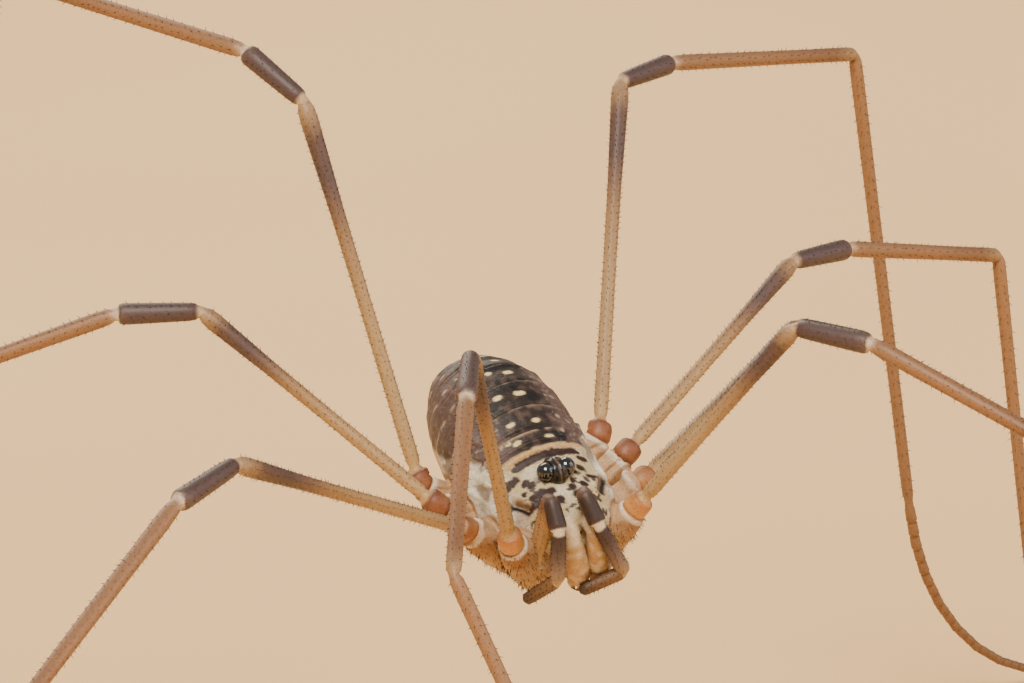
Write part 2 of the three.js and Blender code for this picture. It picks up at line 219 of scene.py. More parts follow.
# Legs
# Eight long walking legs of thin hard cuticle. Each is drawn out as one tube
# from the hip to the toe, narrow and soft at the joints, ringed on the foot.
LEG_NAMES = [f"{side}_{number}" for side in ("right", "left") for number in (1, 2, 3, 4)]
LEG_SIDES = 18
# The hip barrel: distance before and past its middle, radius and station.
HIP_PROFILE = [(-0.42, 0.2, 0.02), (-0.3, 0.26, 0.1), (-0.23, 0.275, 0.2), (-0.205, 0.25, 0.25),
               (-0.18, 0.262, 0.28), (-0.15, 0.285, 0.31), (-0.02, 0.3, 0.45)]
HIP_END_PROFILE = [(0.12, 0.296, 0.6), (0.22, 0.284, 0.72), (0.265, 0.262, 0.8), (0.285, 0.225, 0.84),
                   (0.3, 0.19, 0.88), (0.36, 0.15, 0.96)]
# Each length from its own start: fraction of its length and radius in mm.
FEMUR_PROFILE = [(0.0, 0.125), (0.012, 0.158), (0.05, 0.17), (0.15, 0.166), (0.45, 0.158), (0.7, 0.168),
                 (0.88, 0.2), (0.955, 0.214), (0.985, 0.195), (1.0, 0.15)]
PATELLA_PROFILE = [(0.0, 0.15), (0.03, 0.192), (0.12, 0.212), (0.45, 0.23), (0.8, 0.246), (0.94, 0.25),
                   (0.985, 0.22), (1.0, 0.16)]
TIBIA_PROFILE = [(0.0, 0.14), (0.015, 0.178), (0.06, 0.195), (0.3, 0.186), (0.7, 0.174), (0.95, 0.178),
                 (0.985, 0.168), (1.0, 0.13)]
METATARSUS_PROFILE = [(0.0, 0.12), (0.012, 0.158), (0.05, 0.166), (0.5, 0.152), (0.95, 0.146),
                      (0.985, 0.14), (1.0, 0.11)]
TARSUS_RADII = (0.138, 0.07)
TARSAL_RING_LENGTHS = (0.42, 0.22)
# One ring of the foot: share of its length and of the foot's radius.
TARSAL_RING_SHAPE = [(0.0, 0.84), (0.16, 0.97), (0.6, 1.0), (0.9, 1.06), (1.0, 0.9)]
FLOOR_EASE = 2.0
CUFF_LENGTH = 0.16
# One claw at each toe: how far on, how far down and how thick.
CLAW_PROFILE = [(0.03, 0.0, 0.045), (0.09, 0.006, 0.03), (0.15, 0.026, 0.02), (0.185, 0.048, 0.01)]
CLAW_BEND = 30.0
LEG_STATIONS = 6.0
FRONT_HIP_FORWARDS = 1.6


def cad_points(piece):
    """The corner points of a CAD piece without repeats, in millimetres."""
    points = np.array([tuple(v.co / MM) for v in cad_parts[piece].data.vertices])
    return np.unique(points.round(4), axis=0)


def cad_axis(piece, near):
    """Both ends of a straight CAD limb piece, the end that lies near a point first."""
    points = cad_points(piece)
    middle = points.mean(axis=0)
    along = np.linalg.svd(points - middle, full_matrices=False)[2][0]
    reach = (points - middle) @ along
    ends = [Vector(points[sign * reach > (sign * reach).max() - 0.05].mean(axis=0)) for sign in (-1, 1)]
    return sorted(ends, key=lambda end: (end - near).length)


def cad_path(piece, near, ring_points=8):
    """The ring centres of a CAD foot and its radii, from the end near a point."""
    points = cad_points(piece)
    order = np.argsort(np.linalg.norm(points - np.array(near), axis=1))
    points = points[order][1:-1]
    rings = points[: len(points) // ring_points * ring_points].reshape(-1, ring_points, 3)
    centres = rings.mean(axis=1)
    radii = np.linalg.norm(rings - centres[:, None], axis=2).mean(axis=1)
    return [Vector(c) for c in centres], list(radii)


def ring_frame(centre, along, side, radius, flat=1.0):
    """A matrix that lays a unit circle round a limb at a centre."""
    along = along.normalized()
    side = (side - along * side.dot(along)).normalized()
    up = side.cross(along)
    matrix = Matrix((side * radius, up * radius * flat, along * radius)).transposed().to_4x4()
    matrix.translation = centre
    return matrix


def draw_out(bm, rings, sides, layers=None):
    """Draws a closed tube through ring frames, each with its marks for the layers."""
    made = bmesh.ops.create_circle(bm, segments=sides, radius=1.0, matrix=rings[0][0])
    loop = list({edge for vert in made["verts"] for edge in vert.link_edges})
    bmesh.ops.contextual_create(bm, geom=loop)
    verts = made["verts"]
    drawn = list(verts)
    for i, (matrix, marks) in enumerate(rings):
        if i:
            grown = bmesh.ops.extrude_edge_only(bm, edges=loop)["geom"]
            verts = [part for part in grown if isinstance(part, bmesh.types.BMVert)]
            loop = [part for part in grown if isinstance(part, bmesh.types.BMEdge) and part.is_boundary]
            bmesh.ops.transform(bm, matrix=matrix @ rings[i - 1][0].inverted(), verts=verts)
            drawn += verts
        for layer, mark in zip(layers or (), marks):
            for vert in verts:
                vert[layer] = mark
    bmesh.ops.contextual_create(bm, geom=loop)
    return drawn


class Leg:
    """The joints of one leg, read from the frame, in millimetres."""

    def __init__(self, name):
        self.name = name
        self.pair = int(name[-1])
        self.hip = cad_centre(f"trochanter_{name}")
        self.lengths = {}
        near = self.hip
        for part in ("femur", "patella", "tibia", "metatarsus"):
            self.lengths[part] = cad_axis(f"{part}_{name}", near)
            near = self.lengths[part][1]
        self.foot, self.foot_radii = cad_path(f"tarsus_{name}", near)
        level = self.lengths["tibia"][1] - self.lengths["femur"][0]
        self.side = Vector((0, 0, 1)).cross(level).normalized()


legs = {name: Leg(name) for name in LEG_NAMES}


def body_axes():
    """The body's own frame in millimetres: x forwards, y to its left, z up."""
    front = (legs["right_1"].hip + legs["left_1"].hip) / 2
    middle = (legs["right_3"].hip + legs["left_3"].hip) / 2
    left = (legs["left_1"].hip - legs["right_1"].hip).normalized()
    forwards = (front - middle).normalized()
    up = forwards.cross(left)
    matrix = Matrix((forwards, left, up)).transposed().to_4x4()
    matrix.translation = front - forwards * FRONT_HIP_FORWARDS
    return matrix


body = body_axes()


def leg_rings(leg):
    """Ring frames from hip to toe, each marked with its station along the leg."""
    femur_start, femur_end = leg.lengths["femur"]
    thigh = (femur_end - femur_start).normalized()
    inward = (leg.hip - body @ Vector(leg.hip_root)).normalized()
    rings = []

    def add(centre, along, radius, station, flat=1.0):
        rings.append((ring_frame(centre, along, leg.side, radius, flat), (station,)))

    for away, radius, station in HIP_PROFILE:
        add(leg.hip + inward * away, inward, radius, station)
    for away, radius, station in HIP_END_PROFILE:
        add(leg.hip + thigh * away, (thigh + inward * 0.4).normalized(), radius, station)
    parts = [("femur", FEMUR_PROFILE), ("patella", PATELLA_PROFILE), ("tibia", TIBIA_PROFILE),
             ("metatarsus", METATARSUS_PROFILE)]
    for number, (part, profile) in enumerate(parts, start=1):
        start, end = leg.lengths[part]
        along = (end - start).normalized()
        fine = []
        for (t0, r0), (t1, r1) in zip(profile, profile[1:]):
            steps = max(1, round((t1 - t0) * (end - start).length / 0.5))
            fine += [(t0 + (t1 - t0) * k / steps, r0 + (r1 - r0) * k / steps) for k in range(steps)]
        fine.append(profile[-1])
        for t, radius in fine:
            add(start.lerp(end, t), along, radius, number + 0.03 + 0.94 * t)
    return rings


def foot_rings(leg):
    """Ring frames of the many short rings of the foot, lying on the floor at the end."""
    reach = [0.0]
    for a, b in zip(leg.foot, leg.foot[1:]):
        reach.append(reach[-1] + (b - a).length)
    whole = reach[-1]

    def at(distance):
        i = max(k for k in range(len(reach) - 1) if reach[k] <= distance or k == 0)
        t = (distance - reach[i]) / (reach[i + 1] - reach[i])
        solid = leg.foot_radii[i] + (leg.foot_radii[i + 1] - leg.foot_radii[i]) * t
        radius = TARSUS_RADII[0] + (TARSUS_RADII[1] - TARSUS_RADII[0]) * distance / whole
        place = leg.foot[i].lerp(leg.foot[i + 1], t)
        lying = min(1.0, max(0.0, 1 - (place.z - solid) / FLOOR_EASE))
        place.z -= (solid - radius) * lying
        place.z = max(place.z, radius)
        return place, radius

    rings = []
    distance = 0.0
    while distance < whole - CUFF_LENGTH:
        longest, shortest = TARSAL_RING_LENGTHS
        length = longest + (shortest - longest) * distance / whole
        for share, swell in TARSAL_RING_SHAPE:
            here = min(distance + length * share, whole - 0.02)
            place, radius = at(here)
            ahead, _ = at(min(here + 0.05, whole))
            behind, _ = at(max(here - 0.05, 0.0))
            station = 5.0 + here / whole
            rings.append((ring_frame(place, ahead - behind, leg.side, radius * swell), (station,)))
        distance += length
    tip, _ = at(whole - 0.02)
    before, _ = at(whole - 0.4)
    ahead = (tip - before).normalized()
    for reach_on, drop, size in CLAW_PROFILE:
        place = tip + ahead * reach_on - Vector((0, 0, drop))
        along = ahead - Vector((0, 0, drop * CLAW_BEND))
        rings.append((ring_frame(place, along, leg.side, size), (LEG_STATIONS,)))
    return rings


HIP_ROOTS = {1: (1.0, 0.62, -1.48), 2: (0.35, 0.5, -1.58), 3: (-0.3, 0.5, -1.6), 4: (-0.85, 0.7, -1.5)}
for leg in legs.values():
    forwards, outwards, up = HIP_ROOTS[leg.pair]
    leg.hip_root = (forwards, outwards if leg.name.startswith("left") else -outwards, up)


# The hip of the first pair is light amber, those behind it are browner.
HIP_TONES = {1: (0xA8662C, 0xC98F4E), 2: (0x82502E, 0xA3703F), 3: (0x6E3C24, 0x8A5531),
             4: (0x76422A, 0x945C38)}
STIPPLE_BROWN = 0x8C7A68
UPPER_STRIPE = 0x9C8672
LEG_STOPS = [
    (1.02, 0xB4925F), (1.1, 0xA8875A), (1.4, 0xA58457), (1.6, 0x94714A), (1.7, 0x6E5240), (1.77, 0x54403A),
    (1.88, 0x5A4236), (1.92, 0x866848), (1.965, 0x9C7C58), (1.985, 0xB99A74),
    (2.025, 0xB69A7A), (2.05, 0x4F3B37), (2.3, 0x4E3D3A), (2.85, 0x523F3B), (2.955, 0x5E4A40),
    (2.975, 0xCDB89C), (3.02, 0xC2A688), (3.05, 0x8D6745), (3.5, 0x906642), (3.85, 0x7E5838),
    (3.97, 0xA07F56),
    (4.05, 0x936B47), (5.0, 0x876343), (6.0, 0x6D4E36),
]
RAMP_LIMIT = 16


def banded_material(name, stops, stations):
    # Tanned chitin, thin and hard: a waxy shine, colour bands along the limb.
    material, tree = new_material(name)
    station = node(tree, "ShaderNodeAttribute", {"attribute_name": "station"}).outputs["Fac"]
    place = node(tree, "ShaderNodeTexCoord").outputs["Object"]
    # Mottling of about 0.15 mm shifts the bands so that no edge is ruled.
    mottle = node(tree, "ShaderNodeTexNoise", {"Scale": 6500.0, "Detail": 3.0}, {"Vector": place})
    shift = node(tree, "ShaderNodeMath", {"operation": "MULTIPLY_ADD", 1: 0.05, 2: -0.025},
                 {0: mottle.outputs["Fac"]})
    moved = node(tree, "ShaderNodeMath", {"operation": "ADD"}, {0: station, 1: shift.outputs[0]})
    divided = node(tree, "ShaderNodeMath", {"operation": "DIVIDE", 1: stations}, {0: moved.outputs[0]})
    share = divided.outputs[0]
    shares = [(where / stations, colour) for where, colour in stops]
    split = (shares[RAMP_LIMIT - 1][0] + shares[RAMP_LIMIT][0]) / 2
    first = node(tree, "ShaderNodeValToRGB", {"stops": shares[:RAMP_LIMIT]}, {"Fac": share})
    second = node(tree, "ShaderNodeValToRGB", {"stops": shares[RAMP_LIMIT:]}, {"Fac": share})
    later = node(tree, "ShaderNodeMath", {"operation": "GREATER_THAN", 1: split}, {0: share}).outputs[0]
    bands = node(tree, "ShaderNodeMix", {"data_type": "RGBA"},
                 {"Factor": later, 6: first.outputs["Color"], 7: second.outputs["Color"]}).outputs[2]
    # Fine stipple of the pigment, about 0.04 mm.
    noisy = node(tree, "ShaderNodeTexNoise", {"Scale": 26000.0, "Detail": 2.0}, {"Vector": place})
    grain = noisy.outputs["Fac"]
    speck = node(tree, "ShaderNodeValToRGB", {"stops": [(0.3, STIPPLE_BROWN), (0.5, 0xFFFFFF)]},
                 {"Fac": grain})
    peppered = node(tree, "ShaderNodeMix", {"data_type": "RGBA", "blend_type": "MULTIPLY", "Factor": 0.5},
                    {6: bands, 7: speck.outputs["Color"]}).outputs[2]
    # The upper side is darkened grey brown, more where it faces straight up.
    upper = node(tree, "ShaderNodeAttribute", {"attribute_name": "upper"}).outputs["Fac"]
    stripe = node(tree, "ShaderNodeMapRange", {"From Min": 0.45, "From Max": 0.95, "To Max": 0.5},
                  {"Value": upper})
    tinted = node(tree, "ShaderNodeMix",
                  {"data_type": "RGBA", "blend_type": "MULTIPLY", 7: linear(UPPER_STRIPE)},
                  {"Factor": stripe.outputs[0], 6: peppered}).outputs[2]
    bump = node(tree, "ShaderNodeBump", {"Strength": 0.4, "Distance": 0.00001}, {"Height": grain})
    finish_material(tree, {"Roughness": 0.5, "Specular IOR Level": 0.4, "Subsurface Weight": 0.12,
                           "Subsurface Scale": 0.0002, "Subsurface Radius": (1.0, 0.6, 0.35)},
                    {"Base Color": tinted, "Normal": bump.outputs["Normal"]})
    return material


leg_cuticles = {}
for pair, (dark, light) in HIP_TONES.items():
    hip_stops = [(0.0, 0xD9CBB4), (0.2, 0xDDCDB6), (0.27, dark), (0.45, light), (0.8, dark),
                 (0.92, 0xB98F60)]
    leg_cuticles[pair] = banded_material(f"tanned leg cuticle {pair}", hip_stops + LEG_STOPS, LEG_STATIONS)


def mark_upper(bm):
    """Marks how far each point of a limb faces up, for its darker upper side."""
    bmesh.ops.recalc_face_normals(bm, faces=bm.faces)
    bm.normal_update()
    upper = bm.verts.layers.float.new("upper")
    for vert in bm.verts:
        vert[upper] = max(0.0, vert.normal.z)


def add_leg(leg):
    bm = bmesh.new()
    station = bm.verts.layers.float.new("station")
    draw_out(bm, leg_rings(leg) + foot_rings(leg), LEG_SIDES, (station,))
    mark_upper(bm)
    piece = new_piece(f"leg_{leg.name}", bm, leg_cuticles[leg.pair])
    parts = ("trochanter", "femur", "patella", "tibia", "metatarsus", "tarsus")
    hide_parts(*[f"{part}_{leg.name}" for part in parts])
    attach(piece, "root")


for leg in legs.values():
    add_leg(leg)


# Body
# The trunk is a soft leathery sack with a pale head shield, a dark ringed back and
# folded pale skin at the shoulders. The eight stout coxae under it are one with it.
BODY_VOXEL = 0.04
BODY_EASING = 7
TRUNK_SIDES = 40
TRUNK_RINGS = 44
# Forwards, half breadth, top and bottom in millimetres, from tail to head.
TRUNK_STATIONS = [
    (-4.66, 0.17, 0.4, 0.16), (-4.5, 0.42, 0.66, -0.04), (-4.1, 0.78, 1.06, -0.46),
    (-3.4, 1.2, 1.58, -0.96), (-2.6, 1.48, 1.85, -1.3), (-1.8, 1.62, 1.83, -1.54),
    (-1.0, 1.66, 1.57, -1.66), (-0.3, 1.66, 1.23, -1.68), (0.4, 1.6, 0.96, -1.6),
    (1.1, 1.38, 0.7, -1.38), (1.6, 1.0, 0.42, -1.0), (1.8, 0.56, 0.18, -0.55),
]
COXA_PROFILE = [(-0.15, 0.2), (0.0, 0.34), (0.2, 0.42), (0.45, 0.445), (0.7, 0.43), (0.84, 0.38),
                (0.9, 0.345), (0.925, 0.36), (0.945, 0.3)]
COXA_SAG = 0.2
MOUTH_LOBES = [
    [(0.8, 0.4, -1.5, 0.3), (1.15, 0.52, -1.4, 0.42), (1.4, 0.72, -1.0, 0.36), (1.5, 0.84, -0.76, 0.27)],
    [(0.9, 0.1, -1.3, 0.25), (1.35, 0.2, -1.2, 0.34), (1.65, 0.24, -0.7, 0.3), (1.7, 0.3, -0.3, 0.22)],
]
TERGITE_EDGES = [-0.14, -0.52, -1.12, -1.84, -2.56, -3.15, -3.62, -4.02]
REAR_RIM = 0.02
GLAND_PIT = ((0.8, 1.16), (1.16, 0.93))


def soft(low, high, values):
    """A smooth step from 0 at low to 1 at high."""
    t = np.clip((values - low) / (high - low), 0.0, 1.0)
    return t * t * (3 - 2 * t)


def bump_at(values, place, width):
    return np.exp(-(((values - place) / width) ** 2))


def noise_at(points, scale, shift=0.0):
    """Smooth noise at points, the scale in waves for each millimetre."""
    offset = Vector((shift, shift * 0.7, shift * 1.3))
    return np.array([noise.noise(Vector(point) * scale + offset) for point in points])


def from_segment(points, a, b):
    """How far points lie from a segment, and how far along it as a share."""
    a, b = np.array(a), np.array(b)
    along = b - a
    share = np.clip((points - a) @ along / (along @ along), 0.0, 1.0)
    return np.linalg.norm(points - a - share[:, None] * along, axis=1), share


def fused(bm, voxel, easing):
    """One skin over overlapping closed lumps, in the lumps' own millimetres."""
    lumps = bpy.data.meshes.new("lumps")
    bm.to_mesh(lumps)
    bm.free()
    holder = bpy.data.objects.new("lumps", lumps)
    bpy.context.collection.objects.link(holder)
    remesh = holder.modifiers.new("skin", "REMESH")
    remesh.mode = "VOXEL"
    remesh.voxel_size = voxel
    ease = holder.modifiers.new("ease", "SMOOTH")
    ease.factor = 0.5
    ease.iterations = easing
    graph = bpy.context.evaluated_depsgraph_get()
    skin = bpy.data.meshes.new_from_object(holder.evaluated_get(graph), depsgraph=graph)
    bpy.data.objects.remove(holder)
    bpy.data.meshes.remove(lumps)
    whole = bmesh.new()
    whole.from_mesh(skin)
    bpy.data.meshes.remove(skin)
    whole.normal_update()
    return whole


def lump(bm, places, sides=16):
    """A closed tube in body millimetres through places of (x, y, z, radius)."""
    rings = []
    for i, (x, y, z, radius) in enumerate(places):
        ahead = Vector(places[min(i + 1, len(places) - 1)][:3])
        behind = Vector(places[max(i - 1, 0)][:3])
        rings.append((ring_frame(Vector((x, y, z)), ahead - behind, Vector((0.2, 1.0, 0.1)), radius), ()))
    draw_out(bm, rings, sides)


def add_trunk(bm):
    places, *sizes = (np.array(column) for column in zip(*TRUNK_STATIONS))
    rings = []
    for x in np.linspace(places[0], places[-1], TRUNK_RINGS):
        width, top, bottom = (float(np.interp(x, places, size)) for size in sizes)
        centre = Vector((x, 0, (top + bottom) / 2))
        flat = (top - bottom) / 2 / width
        rings.append((ring_frame(centre, Vector((1, 0, 0)), Vector((0, 1, 0)), width, flat), ()))
    draw_out(bm, rings, TRUNK_SIDES)


def body_lumps():
    bm = bmesh.new()
    add_trunk(bm)
    for leg in legs.values():
        root = Vector(leg.hip_root)
        hip = body.inverted() @ leg.hip
        root.z -= COXA_SAG
        lump(bm, [(*root.lerp(hip, t), radius) for t, radius in COXA_PROFILE])
    for lobe in MOUTH_LOBES:
        for sign in (-1, 1):
            lump(bm, [(x, sign * y, z, radius) for x, y, z, radius in lobe])
    bmesh.ops.recalc_face_normals(bm, faces=bm.faces)
    return bm


def body_relief(p, n):
    """How far the skin rises out of its plain shape, in millimetres."""
    x, y, z = p.T
    side = np.abs(y)
    top = soft(0.15, 0.5, n[:, 2])
    wander = 0.03 * noise_at(p, 1.6, 3.0)
    rise = np.zeros(len(x))
    for edge in TERGITE_EDGES:
        rise -= top * 0.045 * bump_at(x + wander, edge, 0.04)
        rise += top * 0.028 * bump_at(x + wander, edge + 0.08, 0.05)
    # The rolled rear rim of the head shield, and the thin pleats right behind it.
    rise += top * 0.075 * bump_at(x, REAR_RIM, 0.055) * soft(1.25, 0.9, side)
    rise += top * 0.014 * np.sin(x * 2 * math.pi / 0.13) * soft(0.0, -0.1, x) * soft(-0.75, -0.55, x)
    # Pale skin folded lengthwise between the shield and the hips.
    fold = noise_at(p * np.array((1.1, 2.6, 4.2)), 1.0, 9.0)
    shoulder = soft(1.0, 1.3, side) * soft(-0.2, 0.1, z) * soft(-1.4, -1.0, x) * soft(1.3, 0.9, x)
    rise += shoulder * (0.15 * fold + 0.04 * noise_at(p * np.array((2.0, 4.0, 8.0)), 1.0, 12.0))
    # Flanks of the abdomen, crumpled and pitted.
    flank = soft(-0.5, -0.9, x) * soft(0.7, 1.1, side)
    rise += flank * 0.035 * noise_at(p, 3.2, 5.0)
    # Scent gland pits with a raised lip.
    for sign in (-1, 1):
        (x0, y0), (x1, y1) = GLAND_PIT
        away, _ = from_segment(p[:, :2], (x0, sign * y0), (x1, sign * y1))
        above = soft(-0.1, 0.1, z)
        rise += above * (0.03 * bump_at(away, 0.15, 0.08) - 0.1 * bump_at(away + wander, 0.0, 0.06))
    # Low swellings of the shield and a leathery unevenness all over.
    rise += soft(0.0, 0.2, x) * top * 0.05 * noise_at(p, 1.9, 7.0)
    rise += 0.012 * noise_at(p, 5.5, 1.0)
    return rise


# Colours of the skin: shield, shoulders, back, flanks, spots, coxae.
SHIELD_CREAM = 0xB9A67C
SHIELD_BLOTCH = 0x2C1813
SHOULDER_WHITE = 0xD6CDB8
RIM_GOLD = 0xC08A42
BACK_UMBER = 0x221813
FLANK_MAUVE = 0x5A4842
NEAR_BLACK = 0x0E0A08
SPOT_CREAM = 0xE2CB92
DOT_PALE = 0xA8957F
BELLY_TAN = 0xB39A7C
COXA_TAN = 0xAE8555
COXA_AMBER = 0x8A5A32
COXA_PALE = 0xC0A07A
JOINT_WHITE = 0xDCCDB6
# Painted shade for the hollows of the shoulder folds.
FOLD_HOLLOW_SHADE = 0x75614F
BACK_MOTTLE = 0x5A453B
BACK_FLECK = 0x8F7A66
EDGE_LINE = 0xA98D70
RIM_PALE = 0xE3CB98
BELLY_LINE = 0x6E5847
PIT_BROWN = 0x5F3423
LOBE_TAN = 0xB08A58
LOBE_BROWN = 0x8E6840
LOBE_SHADE = 0x85623F
GRANULE_GREY = 0xB8A899
# Pale lines behind the first plate edges of the back.
LINE_PLACES = (-0.06, -0.47, -1.05, -1.78)
# The height at which the dark back ends, from tail to head.
HEM_FORWARDS = (-4.6, -2.4, -1.6, -1.0, -0.4)
HEM_HEIGHTS = (-0.1, 0.0, 0.25, 0.62, 0.72)
# Blotches of the shield: forwards, left, half length, half breadth.
BLOTCHES = [
    (0.39, -0.98, 0.1, 0.17), (0.6, -0.72, 0.07, 0.08), (0.73, -0.64, 0.08, 0.09),
    (0.82, -0.88, 0.07, 0.05), (1.0, -0.62, 0.09, 0.2), (1.18, -0.72, 0.07, 0.16),
    (1.04, -0.34, 0.08, 0.12), (0.61, 0.69, 0.08, 0.11),
    (0.72, 0.47, 0.06, 0.06), (0.93, 0.3, 0.08, 0.06), (1.1, 0.2, 0.07, 0.08), (1.04, 0.53, 0.06, 0.1),
    (0.34, 0.86, 0.07, 0.14), (0.8, 0.86, 0.05, 0.12), (1.28, 0.3, 0.08, 0.15), (1.3, -0.2, 0.07, 0.1),
]
# Cream spots of the back: forwards, left, half length, half breadth.
SPOTS = [
    (-0.28, 0.34, 0.045, 0.12), (-0.33, -0.48, 0.045, 0.1), (-0.4, -0.66, 0.03, 0.08),
    (-0.7, 0.2, 0.05, 0.1), (-0.76, -0.42, 0.05, 0.1), (-1.45, 0.16, 0.06, 0.14),
    (-1.5, -0.38, 0.06, 0.11), (-2.18, 0.24, 0.06, 0.12),
    (-2.3, -0.22, 0.05, 0.1), (-2.86, 0.26, 0.05, 0.1), (-2.88, -0.26, 0.05, 0.1), (-3.4, 0.24, 0.05, 0.09),
    (-3.4, -0.25, 0.05, 0.09), (-3.82, 0.2, 0.04, 0.08), (-3.83, -0.2, 0.04, 0.08),
]
BLACK_PATCHES = [
    (-0.28, 0.62, 0.12, 0.16), (-1.32, 0.5, 0.16, 0.2), (-1.75, 0.02, 0.14, 0.5), (-2.5, 0.0, 0.2, 0.6),
    (-1.3, -0.6, 0.14, 0.16), (-3.2, 0.0, 0.16, 0.5),
]
DOT_ROWS = (0.78, 1.02, 1.24, 1.44, 1.6)


def oval(x, y, mark):
    """Distance from a mark's middle as a share of its size."""
    at_x, at_y, half_x, half_y = mark
    return np.hypot((x - at_x) / half_x, (y - at_y) / half_y)


def blend(colours, hex_colour, mask):
    return colours + (np.array(linear(hex_colour)[:3]) - colours) * np.clip(mask, 0, 1)[:, None]


def all_over(p, hex_colour):
    """One colour at every point, linear."""
    return np.zeros_like(p) + np.array(linear(hex_colour)[:3])


def body_tints(p, n):
    """The colour of the skin at each point, linear."""
    x, y, z = p.T
    side = np.abs(y)
    coarse, middle, fine = noise_at(p, 2.1, 2.0), noise_at(p, 5.5, 4.0), noise_at(p, 13.0, 6.0)
    ragged = 0.5 * middle + 0.35 * fine
    tints = all_over(p, SHIELD_CREAM)
    # Shield: cream clouded to white, blotched and freckled with brown.
    tints = blend(tints, SHOULDER_WHITE, 0.5 * soft(-0.1, 0.4, coarse + 0.3 * middle))
    tints = blend(tints, SHOULDER_WHITE, soft(0.95, 1.25, side) * 0.9)
    for mark in BLOTCHES:
        tints = blend(tints, SHIELD_BLOTCH, soft(1.35, 1.05, oval(x, y, mark) + 0.8 * ragged))
    freckled = soft(0.5, 0.8, x) * soft(1.2, 0.9, side)
    tints = blend(tints, SHIELD_BLOTCH, freckled * soft(0.24, 0.36, middle + 0.5 * fine) * 0.9)
    # A dark collar behind the eyes, under the golden rear rim.
    collar = bump_at(x, 0.17, 0.09) * soft(1.0, 0.7, side)
    tints = blend(tints, SHIELD_BLOTCH, soft(0.3, 0.5, collar + 0.3 * ragged))
    # Painted shade: the hollows of the shoulder folds are darkened grey, where the folds fall in shadow.
    fold = noise_at(p * np.array((1.1, 2.6, 4.2)), 1.0, 9.0)
    shoulder = soft(1.0, 1.3, side) * soft(-0.2, 0.1, z)
    tints = blend(tints, FOLD_HOLLOW_SHADE, shoulder * soft(-0.02, -0.3, fold) * 0.85)
    # Back of the abdomen.
    back = all_over(p, BACK_UMBER)
    back = blend(back, FLANK_MAUVE, soft(0.45, 1.0, side + 0.25 * coarse + 0.1 * middle) * 0.9)
    back = blend(back, BACK_MOTTLE, soft(0.0, 0.5, middle + 0.3 * fine) * 0.55)
    for mark in BLACK_PATCHES:
        back = blend(back, NEAR_BLACK, soft(1.3, 0.7, oval(x, y, mark) + 0.6 * middle) * 0.9)
    rear_flank = soft(1.5, 1.74, side) * soft(0.1, 0.4, z) * soft(0.3, 0.1, coarse)
    back = blend(back, NEAR_BLACK, rear_flank * 0.85)
    for mark in SPOTS:
        back = blend(back, SPOT_CREAM, soft(1.25, 0.8, oval(x, y, mark) + 0.3 * ragged))
    rows = random.Random(11)
    for edge in TERGITE_EDGES:
        for place in DOT_ROWS:
            for sign in (-1, 1):
                size = rows.uniform(0.025, 0.05)
                mark = (edge - 0.28 + rows.uniform(-0.06, 0.06), sign * (place + rows.uniform(-0.06, 0.06)),
                        size, size * 1.3)
                back = blend(back, DOT_PALE, soft(1.4, 0.7, oval(x, y, mark)) * rows.uniform(0.5, 1.0))
    for edge in LINE_PLACES:
        line = bump_at(x + 0.03 * coarse, edge, 0.028) * soft(1.35, 1.0, side)
        back = blend(back, EDGE_LINE, line * soft(-0.5, 0.2, middle) * (0.85 if edge > -1 else 0.35))
    # The dark back ends at the pale folded skin above the hips.
    flecks = soft(0.3, 0.42, fine + 0.25 * middle) * soft(0.3, 0.9, side)
    back = blend(back, BACK_FLECK, flecks * 0.6)
    hem = np.interp(x, HEM_FORWARDS, HEM_HEIGHTS)
    height = z + 0.12 * coarse + 0.05 * fine
    dark = soft(-0.02, -0.06, x + 0.02 * ragged) * soft(hem - 0.07, hem + 0.07, height)
    tints += (back - tints) * dark[:, None]
    rim = bump_at(x, REAR_RIM + 0.01, 0.05) * soft(1.1, 0.85, side) * soft(0.2, 0.4, n[:, 2])
    tints = blend(tints, RIM_GOLD, soft(0.3, 0.7, rim))
    tints = blend(tints, RIM_PALE, soft(0.7, 1.05, rim + 0.3 * middle) * 0.45)
    # Under side and flanks below the back.
    below = soft(0.1, -0.25, z + 0.12 * coarse) * soft(-0.6, -0.9, x)
    tints = blend(tints, BELLY_TAN, below)
    for edge in TERGITE_EDGES[2:]:
        tints = blend(tints, BELLY_LINE, below * bump_at(x, edge, 0.04) * 0.6)
    # Gland pits.
    for sign in (-1, 1):
        (x0, y0), (x1, y1) = GLAND_PIT
        away, _ = from_segment(p[:, :2], (x0, sign * y0), (x1, sign * y1))
        above = soft(-0.05, 0.1, z)
        tints = blend(tints, PIT_BROWN, above * soft(0.15, 0.04, away + 0.1 * ragged) * 0.8)
        tints = blend(tints, NEAR_BLACK, above * soft(0.09, 0.03, away + 0.03 * ragged))
    # Coxae and mouth lobes.
    nearest = np.full(len(x), 9.0)
    for leg in legs.values():
        hip = body.inverted() @ leg.hip
        away, share = from_segment(p, leg.hip_root, tuple(hip))
        own = soft(0.56, 0.47, away + 0.05 * middle) * soft(0.5, 0.25, z) * soft(0.02, 0.2, share)
        skin = all_over(p, COXA_TAN)
        skin = blend(skin, COXA_AMBER, soft(0.45, 0.85, share + 0.15 * coarse) * 0.75)
        skin = blend(skin, COXA_PALE, soft(-0.1, 0.6, n[:, 2]) * 0.6)
        skin = blend(skin, JOINT_WHITE, soft(0.86, 0.89, share) * soft(0.935, 0.915, share) * 0.8)
        tints += (skin - tints) * own[:, None]
        nearest = np.minimum(nearest, away)
    lobes = soft(-0.35, -0.6, z + 0.1 * coarse) * soft(-1.0, -0.6, x)
    tan = all_over(p, LOBE_TAN)
    tan = blend(tan, LOBE_BROWN, soft(0.0, 0.5, middle) * 0.5)
    tan = blend(tan, LOBE_SHADE, soft(0.42, 0.56, nearest) * 0.5)
    tints += (tan - tints) * (lobes * soft(0.44, 0.52, nearest))[:, None]
